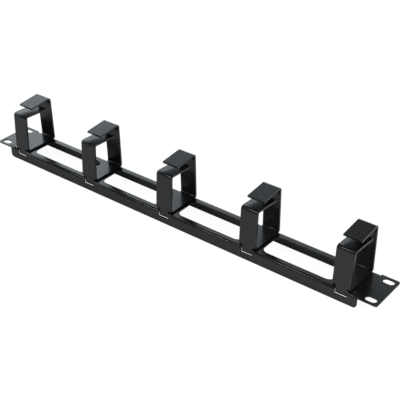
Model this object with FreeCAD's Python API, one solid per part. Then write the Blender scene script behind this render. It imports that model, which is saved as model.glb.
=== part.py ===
import FreeCAD, Part
import math
import os

os.makedirs("parts", exist_ok=True)

# Cable panel for a 19-inch rack, one unit high: a folded sheet panel that carries a row of rings, each
# bent from one flat strip. All sizes are in millimetres.
# +X runs along the panel, +Y across it towards the tall legs of the rings, +Z out of its front face.
# The origin is the centre of the four mounting slots, on the rear face of the sheet.

# Sheet of the panel and its two folded flanges.
panel_length = 482.6
panel_height = 43.6
sheet = 1.5
sheet_bend_radius = 1.0
flange_depth = 12.5
flange_setback = 0.3
flange_corner_radius = 3.5

# Flat ears at both ends. A narrow relief parts each ear from the folded flanges.
ear_width = 19.7
ear_corner_radius = 2.2
relief_width = 0.8

# Mounting slots, set in from the ear's end and from its long edges. Together with the panel's length and
# height the insets give the rack's hole pitch of 465.1 by 31.75.
slot_length = 11.2
slot_width = 7.0
slot_end_inset = 8.75
slot_side_inset = 5.925

# Large openings between the rings. Under each ring a web is left, a little wider than the ring's strip.
opening_width = 29.0
opening_corner_radius = 8.0
web_margin = 2.3

# Row of rings. The end rings stand this far inside the ends of the flanges.
ring_count = 5
ring_end_inset = 17.2

# Strip that each ring is bent from, and its two leaning legs.
strip_width = 19.0
strip = 2.0
strip_bend_radius = 1.5
short_leg_height = 42.7
short_leg_lean = 3.1
tall_leg_lean = 1.1
tall_lip_fall = 5.4

# Way in for the cables: over the short leg, between the two lips and down past the short leg's lip.
mouth_gap = 9.6
lip_gap = 4.8
throat_gap = 6.1

# Tab at the foot of each short leg. It drops through a window in the panel's bend, just behind the plane of
# the flange, and ends a little above the window's lower edge. Nearly all its side play is on the +X side.
tab_width = 11.4
tab_clearance = 0.15
tab_left_gap = 0.05
tab_right_gap = 1.1
tab_end_gap = 0.3
window_depth = 5.9

# Length by which cutting solids run past the sheet.
cut_margin = 2.0

# Places that follow from the sizes above.
half_length = panel_length / 2
half_height = panel_height / 2
flange_face = half_height - flange_setback
bend_line = flange_face - sheet_bend_radius - sheet
flange_end = half_length - ear_width
ring_pitch = 2 * (flange_end - ring_end_inset) / (ring_count - 1)
ring_places = [ring_pitch * (i - (ring_count - 1) / 2) for i in range(ring_count)]


def point(y, z):
    """Point in the cross-section plane, at the middle of the panel's length."""
    return FreeCAD.Vector(0, y, z)


def slope(degrees):
    """Rise over run of a line that is tilted by an angle."""
    return math.tan(math.radians(degrees))


def offset_corners(corners, distance):
    """Corners of the parallel path that lies to the left of a path in the cross-section plane."""
    directions = [(b - a).normalize() for a, b in zip(corners, corners[1:])]
    normals = [FreeCAD.Vector(0, -d.z, d.y) for d in directions]
    moved = [corners[0] + normals[0] * distance]
    for corner, before, after in zip(corners[1:], normals, normals[1:]):
        mitre = before + after
        moved.append(corner + mitre * (distance / mitre.dot(after)))
    moved.append(corners[-1] + normals[-1] * distance)
    return moved


def rounded_edges(corners, radius):
    """Lines along a path of corners, joined by tangent arcs of one radius."""
    edges = []
    start = corners[0]
    for before, corner, after in zip(corners, corners[1:], corners[2:]):
        back = (before - corner).normalize()
        ahead = (after - corner).normalize()
        half_angle = back.getAngle(ahead) / 2
        setback = radius / math.tan(half_angle)
        first = corner + back * setback
        last = corner + ahead * setback
        towards_centre = (back + ahead).normalize()
        middle = corner + towards_centre * (radius / math.sin(half_angle) - radius)
        edges.append(Part.makeLine(start, first))
        edges.append(Part.Arc(first, middle, last).toShape())
        start = last
    edges.append(Part.makeLine(start, corners[-1]))
    return edges


def bent_strip(outer_corners, thickness, inner_radius, width):
    """Flat strip bent along the given outer corners, which turn left, centred along X."""
    inner_corners = offset_corners(outer_corners, thickness)
    edges = rounded_edges(outer_corners, inner_radius + thickness)
    edges += rounded_edges(inner_corners, inner_radius)
    edges.append(Part.makeLine(outer_corners[0], inner_corners[0]))
    edges.append(Part.makeLine(outer_corners[-1], inner_corners[-1]))
    section = Part.Face(Part.Wire(Part.__sortEdges__(edges)))
    section.translate(FreeCAD.Vector(-width / 2, 0, 0))
    return section.extrude(FreeCAD.Vector(width, 0, 0))


def block(x_range, y_range, z_range):
    """Rectangular solid between two limits along each axis."""
    size = [high - low for low, high in (x_range, y_range, z_range)]
    corner = FreeCAD.Vector(x_range[0], y_range[0], z_range[0])
    return Part.makeBox(size[0], size[1], size[2], corner)


def rounded_block(length, width, radius, z_range):
    """Solid centred on the Z axis, length by width in plan, with rounded upright corners."""
    z_low, z_high = z_range
    flat_x = length / 2 - radius
    flat_y = width / 2 - radius
    rods = [
        Part.makeCylinder(radius, z_high - z_low, FreeCAD.Vector(x, y, z_low))
        for x in sorted({-flat_x, flat_x})
        for y in sorted({-flat_y, flat_y})
    ]
    solid = block((-flat_x, flat_x), (-width / 2, width / 2), z_range)
    if flat_y > 0:
        rods.append(block((-length / 2, length / 2), (-flat_y, flat_y), z_range))
    return solid.fuse(rods).removeSplitter()


def moved(shape, x, y=0):
    """Copy of a shape, moved along the panel and across it."""
    copy = shape.copy()
    copy.translate(FreeCAD.Vector(x, y, 0))
    return copy


def folded_channel():
    """Middle of the panel: the face with both long sides folded back as flanges."""
    corners = [
        point(flange_face, sheet - flange_depth),
        point(flange_face, sheet),
        point(-flange_face, sheet),
        point(-flange_face, sheet - flange_depth),
    ]
    channel = bent_strip(corners, sheet, sheet_bend_radius, 2 * flange_end)
    free_edge = sheet - flange_depth
    end_corners = [
        edge for edge in channel.Edges
        if edge.BoundBox.XLength < cut_margin
        and edge.BoundBox.ZMax < free_edge + sheet / 2
    ]
    return channel.makeFillet(flange_corner_radius, end_corners)


def panel():
    """The folded panel with its ears, slots, openings and one window for each ring's tab."""
    through = (-cut_margin, sheet + cut_margin)
    blank = rounded_block(panel_length, panel_height, ear_corner_radius, (0, sheet))
    relief_end = flange_end + relief_width
    outside = half_height + cut_margin
    blank = blank.cut([
        block((-relief_end, relief_end), (bend_line, outside), through),
        block((-relief_end, relief_end), (-outside, -bend_line), through),
    ])
    body = blank.fuse(folded_channel()).removeSplitter()

    slot = rounded_block(slot_length, slot_width, slot_width / 2, through)
    slot_x = half_length - slot_end_inset
    slot_y = half_height - slot_side_inset
    cuts = [moved(slot, x, y) for x in (-slot_x, slot_x) for y in (-slot_y, slot_y)]

    web_width = strip_width + 2 * web_margin
    opening = rounded_block(ring_pitch - web_width, opening_width, opening_corner_radius, through)
    cuts += [moved(opening, x + ring_pitch / 2) for x in ring_places[:-1]]

    window_back = -short_leg_face + strip + tab_clearance
    window = block(
        (-tab_width / 2 - tab_left_gap, tab_width / 2 + tab_right_gap),
        (-outside, window_back),
        (sheet - window_depth, sheet + cut_margin),
    )
    cuts += [moved(window, x) for x in ring_places]
    return body.cut(cuts)


# The short leg's outer face stands just behind the flange, so that its tab can drop past it. The tall
# leg's outer face is flush with the other flange.
short_leg_face = flange_face - sheet - tab_clearance
tall_leg_face = flange_face


def ring_corners():
    """Outer corners of the strip, from the short leg's lip round the ring to the tall leg's lip."""
    short_top = point(
        -short_leg_face + short_leg_height * slope(short_leg_lean),
        sheet + short_leg_height,
    )
    short_foot = point(-short_leg_face, sheet)
    tall_foot = point(tall_leg_face, sheet)

    # The tall leg's lip ends short of the short leg and clears the lower lip by the lip gap there.
    tall_lip_y = short_top.y + mouth_gap
    lower_lip_z = short_top.z - mouth_gap * slope(short_leg_lean)
    tall_lip_z = lower_lip_z + lip_gap + strip / math.cos(math.radians(tall_lip_fall))

    # Where the line of the tall leg's lip meets the leaning face of that leg.
    lean = slope(tall_leg_lean)
    fall = slope(tall_lip_fall)
    run = tall_leg_face - tall_lip_y - (tall_lip_z - sheet) * lean
    tall_top_y = tall_lip_y + run / (1 + fall * lean)
    tall_top = point(tall_top_y, tall_lip_z + (tall_top_y - tall_lip_y) * fall)
    tall_lip = point(tall_lip_y, tall_lip_z)

    # The short leg's lip is square to its leg and ends short of the tall leg.
    short_lip_y = tall_top.y - strip - throat_gap
    short_lip = point(
        short_lip_y,
        short_top.z - (short_lip_y - short_top.y) * slope(short_leg_lean),
    )
    return [short_lip, short_top, short_foot, tall_foot, tall_top, tall_lip]


def foot_tab():
    """Tab that carries the short leg's outer face straight down through the panel's window."""
    bend_height = strip_bend_radius + strip
    bottom = sheet - window_depth + tab_end_gap
    top = sheet + bend_height
    lean = bend_height * slope(short_leg_lean)
    outline = [
        point(-short_leg_face, bottom),
        point(-short_leg_face, sheet),
        point(-short_leg_face + lean, top),
        point(-short_leg_face + strip, top),
        point(-short_leg_face + strip, bottom),
    ]
    side = Part.Face(Part.makePolygon(outline + outline[:1]))
    side.translate(FreeCAD.Vector(-tab_width / 2, 0, 0))
    return side.extrude(FreeCAD.Vector(tab_width, 0, 0))


def ring():
    """One ring: a strip bent four times so that its two lips overlap, with the tab at its foot."""
    body = bent_strip(ring_corners(), strip, strip_bend_radius, strip_width)
    return body.fuse(foot_tab()).removeSplitter()


panel().exportStep("parts/panel.step")
one_ring = ring()
for number, place in enumerate(ring_places, start=1):
    moved(one_ring, place).exportStep(f"parts/ring_{number}.step")
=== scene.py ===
import math

import bpy
from mathutils import Matrix, Vector


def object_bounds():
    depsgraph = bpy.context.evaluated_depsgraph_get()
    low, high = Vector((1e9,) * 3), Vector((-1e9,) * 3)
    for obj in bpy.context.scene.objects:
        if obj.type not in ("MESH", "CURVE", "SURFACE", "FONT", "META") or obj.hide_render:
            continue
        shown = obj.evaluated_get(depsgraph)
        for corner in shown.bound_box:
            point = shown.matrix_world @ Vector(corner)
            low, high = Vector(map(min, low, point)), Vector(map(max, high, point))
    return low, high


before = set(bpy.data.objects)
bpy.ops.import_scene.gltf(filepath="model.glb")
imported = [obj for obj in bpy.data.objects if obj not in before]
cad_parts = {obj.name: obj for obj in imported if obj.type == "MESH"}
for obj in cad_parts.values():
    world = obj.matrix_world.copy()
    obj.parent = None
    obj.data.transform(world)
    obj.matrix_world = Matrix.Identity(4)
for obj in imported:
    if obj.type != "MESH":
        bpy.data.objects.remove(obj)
cad_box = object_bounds()

WHITE = (1.0, 1.0, 1.0)

# Powder coat. Colours are linear, lengths are in metres, and a noise's scale is in cells per metre.
COAT_TONE = (0.0050, 0.0052, 0.0056)
MOTTLE_SCALE, MOTTLE_DARK, MOTTLE_LIGHT = 55.0, 0.82, 1.18
WORN_TONE = (0.022, 0.023, 0.025)
WEAR_SCALE, WEAR_REACH = 420.0, 0.0005
GLOSS_SCALE, ROUGHNESS_LOW, ROUGHNESS_HIGH = 900.0, 0.20, 0.28
PEEL_SCALE, PEEL_STRENGTH, PEEL_DEPTH = 1500.0, 0.25, 0.00006

# Rounding of the CAD parts' sharp edges, in metres and degrees.
WELD_DISTANCE, FLAT_ANGLE = 0.000005, 0.5
EDGE_ROUND, EDGE_STEPS, SHARP_ANGLE = 0.0001, 3, 32

# Floor and room: what the camera sees of them, and what lights the part.
FLOOR_SIZE = 60.0
FLOOR_TONE, FLOOR_GLOW, FLOOR_LIT = 0.12, 0.94, 0.85
ROOM_SEEN, ROOM_LIT = 0.985, 0.06

# Tint of the softboxes at the panel's left end and behind it.
COOL = (0.87, 0.97, 1.03)

# Camera fitted to the photograph: place in millimetres, with the height over the panel's front face, which is
# one sheet above the CAD origin; yaw, pitch and roll in radians; focal length, principal point and frame in
# pixels.
SHEET = 1.5
PLACE = (506.078, -601.104, 501.361 + SHEET)
YAW, PITCH, ROLL = 0.66932, 0.59729, 0.00497
FOCAL, CENTRE_X, CENTRE_Y, FRAME = 921.951, 200.0, 230.0, 400.0
SENSOR = 36.0
NEAR_CLIP, FAR_CLIP = 0.01, 50.0
MM_PER_METRE = 1000.0


def opaque(tone):
    """Colour with full alpha."""
    return (*tone, 1.0)


def grey(level):
    """Opaque grey of one level."""
    return opaque((level, level, level))


def powder_coat(name):
    """Satin black powder coat: a dark base with faint mottling, an orange-peel skin and worn edges."""
    mat = bpy.data.materials.new(name)
    mat.use_nodes = True
    nodes, links = mat.node_tree.nodes, mat.node_tree.links
    shader = nodes["Principled BSDF"]
    where = nodes.new("ShaderNodeTexCoord")

    def noise(scale, detail, rough=0.55):
        n = nodes.new("ShaderNodeTexNoise")
        n.inputs["Scale"].default_value = scale
        n.inputs["Detail"].default_value = detail
        n.inputs["Roughness"].default_value = rough
        links.new(where.outputs["Object"], n.inputs["Vector"])
        return n.outputs["Fac"]

    def ramp(value, low, high, start, end):
        r = nodes.new("ShaderNodeMapRange")
        r.inputs["From Min"].default_value = low
        r.inputs["From Max"].default_value = high
        r.inputs["To Min"].default_value = start
        r.inputs["To Max"].default_value = end
        links.new(value, r.inputs["Value"])
        return r.outputs["Result"]

    # Edge mask: where a rounded normal leaves the face's own normal.
    soft = nodes.new("ShaderNodeBevel")
    soft.samples = 4
    soft.inputs["Radius"].default_value = WEAR_REACH
    shape = nodes.new("ShaderNodeNewGeometry")
    dot = nodes.new("ShaderNodeVectorMath")
    dot.operation = "DOT_PRODUCT"
    links.new(soft.outputs["Normal"], dot.inputs[0])
    links.new(shape.outputs["True Normal"], dot.inputs[1])
    edge = ramp(dot.outputs["Value"], 0.98, 0.80, 0.0, 1.0)
    patch = ramp(noise(WEAR_SCALE, 3.0), 0.45, 0.62, 0.0, 1.0)
    wear = nodes.new("ShaderNodeMath")
    wear.operation = "MULTIPLY"
    links.new(edge, wear.inputs[0])
    links.new(patch, wear.inputs[1])

    # Mottled colour, a little greyer where an edge is worn.
    colour = nodes.new("ShaderNodeMix")
    colour.data_type = "RGBA"
    colour.inputs["A"].default_value = opaque([c * MOTTLE_DARK for c in COAT_TONE])
    colour.inputs["B"].default_value = opaque([c * MOTTLE_LIGHT for c in COAT_TONE])
    links.new(ramp(noise(MOTTLE_SCALE, 4.0), 0.3, 0.7, 0.0, 1.0), colour.inputs["Factor"])
    worn = nodes.new("ShaderNodeMix")
    worn.data_type = "RGBA"
    worn.inputs["B"].default_value = opaque(WORN_TONE)
    links.new(colour.outputs["Result"], worn.inputs["A"])
    links.new(wear.outputs["Value"], worn.inputs["Factor"])
    links.new(worn.outputs["Result"], shader.inputs["Base Color"])

    gloss = ramp(noise(GLOSS_SCALE, 2.0), 0.3, 0.7, ROUGHNESS_LOW, ROUGHNESS_HIGH)
    links.new(gloss, shader.inputs["Roughness"])

    peel = nodes.new("ShaderNodeBump")
    peel.inputs["Strength"].default_value = PEEL_STRENGTH
    peel.inputs["Distance"].default_value = PEEL_DEPTH
    links.new(noise(PEEL_SCALE, 2.0, 0.5), peel.inputs["Height"])
    links.new(peel.outputs["Normal"], shader.inputs["Normal"])
    return mat


def split_by_ray(tree, seen, lit, output):
    """Show one shader to the camera and the other to all other rays."""
    path = tree.nodes.new("ShaderNodeLightPath")
    either = tree.nodes.new("ShaderNodeMixShader")
    tree.links.new(path.outputs["Is Camera Ray"], either.inputs[0])
    tree.links.new(lit, either.inputs[1])
    tree.links.new(seen, either.inputs[2])
    tree.links.new(either.outputs["Shader"], tree.nodes[output].inputs["Surface"])


def paper(name):
    """White paper floor. The camera sees it nearly evenly white; other rays meet it as plain lit paper."""
    mat = bpy.data.materials.new(name)
    mat.use_nodes = True
    front = mat.node_tree.nodes["Principled BSDF"]
    front.inputs["Base Color"].default_value = grey(FLOOR_TONE)
    front.inputs["Roughness"].default_value = 0.9
    front.inputs["Specular IOR Level"].default_value = 0.0
    front.inputs["Emission Color"].default_value = opaque(WHITE)
    front.inputs["Emission Strength"].default_value = FLOOR_GLOW
    matt = mat.node_tree.nodes.new("ShaderNodeBsdfDiffuse")
    matt.inputs["Color"].default_value = grey(FLOOR_LIT)
    split_by_ray(mat.node_tree, front.outputs["BSDF"], matt.outputs["BSDF"], "Material Output")
    return mat


def studio(name):
    """White room. The camera sees it as white as the floor; other rays meet it as a dim fill light."""
    world = bpy.data.worlds.new(name)
    world.use_nodes = True
    dim = world.node_tree.nodes["Background"]
    dim.inputs["Color"].default_value = opaque(WHITE)
    dim.inputs["Strength"].default_value = ROOM_LIT
    bright = world.node_tree.nodes.new("ShaderNodeBackground")
    bright.inputs["Color"].default_value = opaque(WHITE)
    bright.inputs["Strength"].default_value = ROOM_SEEN
    split_by_ray(world.node_tree, bright.outputs["Background"], dim.outputs["Background"], "World Output")
    return world


def softbox(name, azimuth, height, distance, width, tall, glow, tint):
    """Softbox that faces the panel from an azimuth, turned from +Y towards -X, and a height, in degrees.

    Its distance, width and tallness are in metres, and its glow is the radiance of its face.
    """
    turn, rise = math.radians(azimuth), math.radians(height)
    place = distance * Vector((
        -math.sin(turn) * math.cos(rise),
        math.cos(turn) * math.cos(rise),
        math.sin(rise),
    ))
    light = bpy.data.lights.new(name, "AREA")
    light.shape = "RECTANGLE"
    light.size, light.size_y = width, tall
    light.energy = glow * math.pi * width * tall
    light.color = tint
    lamp = bpy.data.objects.new(name, light)
    bpy.context.scene.collection.objects.link(lamp)
    lamp.location = place
    lamp.rotation_euler = (-place).to_track_quat("-Z", "Y").to_euler()
    return lamp


# The CAD parts. The triangles of each flat face are joined first, so that its sharp edges round cleanly.
coat = powder_coat("powder_coat")
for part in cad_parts.values():
    part.data.materials.clear()
    part.data.materials.append(coat)
    weld = part.modifiers.new("weld", "WELD")
    weld.merge_threshold = WELD_DISTANCE
    flat = part.modifiers.new("flat", "DECIMATE")
    flat.decimate_type = "DISSOLVE"
    flat.angle_limit = math.radians(FLAT_ANGLE)
    bevel = part.modifiers.new("bevel", "BEVEL")
    bevel.width = EDGE_ROUND
    bevel.segments = EDGE_STEPS
    bevel.limit_method = "ANGLE"
    bevel.angle_limit = math.radians(SHARP_ANGLE)
    bevel.use_clamp_overlap = False
    bevel.harden_normals = True

# The floor, at the height of the part's lowest point.
floor_z = cad_box[0].z
bpy.ops.mesh.primitive_plane_add(size=FLOOR_SIZE, location=(0.0, 0.0, floor_z))
floor = bpy.context.object
floor.name = "floor"
floor.data.materials.append(paper("floor_white"))

# The light: three boxes at the panel's left end and behind it, which its upward faces reflect; one at the right,
# which lights the paper in front of the panel and stays out of the reflections; one at the camera's left for the
# bends that face it; and a faint one overhead.
bpy.context.scene.world = studio("studio")
softbox("left", 83.5, 20, 2.5, 3.1, 1.7, 2.1, COOL)
softbox("back", 27, 16, 2.5, 1.9, 1.7, 1.6, COOL)
softbox("high", 41, 41, 2.5, 1.0, 0.5, 0.65, COOL)
softbox("right", -95, 30, 0.85, 0.6, 0.5, 5.6, WHITE).visible_glossy = False
softbox("front", 157, 46.5, 1.43, 0.65, 0.13, 16.0, WHITE)
softbox("top", -90, 88, 2.0, 1.4, 1.0, 0.25, WHITE)

# The camera.
ahead = Vector((
    -math.sin(YAW) * math.cos(PITCH),
    math.cos(YAW) * math.cos(PITCH),
    -math.sin(PITCH),
))
level = Vector((math.cos(YAW), math.sin(YAW), 0.0))
down = ahead.cross(level)
right = level * math.cos(ROLL) + down * math.sin(ROLL)
below = down * math.cos(ROLL) - level * math.sin(ROLL)
turn = Matrix((right, -below, -ahead)).transposed()
camera = bpy.data.objects.new("camera", bpy.data.cameras.new("camera"))
camera.matrix_world = Matrix.Translation(Vector(PLACE) / MM_PER_METRE) @ turn.to_4x4()
camera.data.sensor_width = SENSOR
camera.data.lens = FOCAL / FRAME * SENSOR
camera.data.shift_x = (FRAME / 2 - CENTRE_X) / FRAME
camera.data.shift_y = (CENTRE_Y - FRAME / 2) / FRAME
camera.data.clip_start, camera.data.clip_end = NEAR_CLIP, FAR_CLIP
bpy.context.scene.collection.objects.link(camera)
bpy.context.scene.camera = camera

view = bpy.context.scene.view_settings
view.view_transform = "Standard"
view.look = "None"
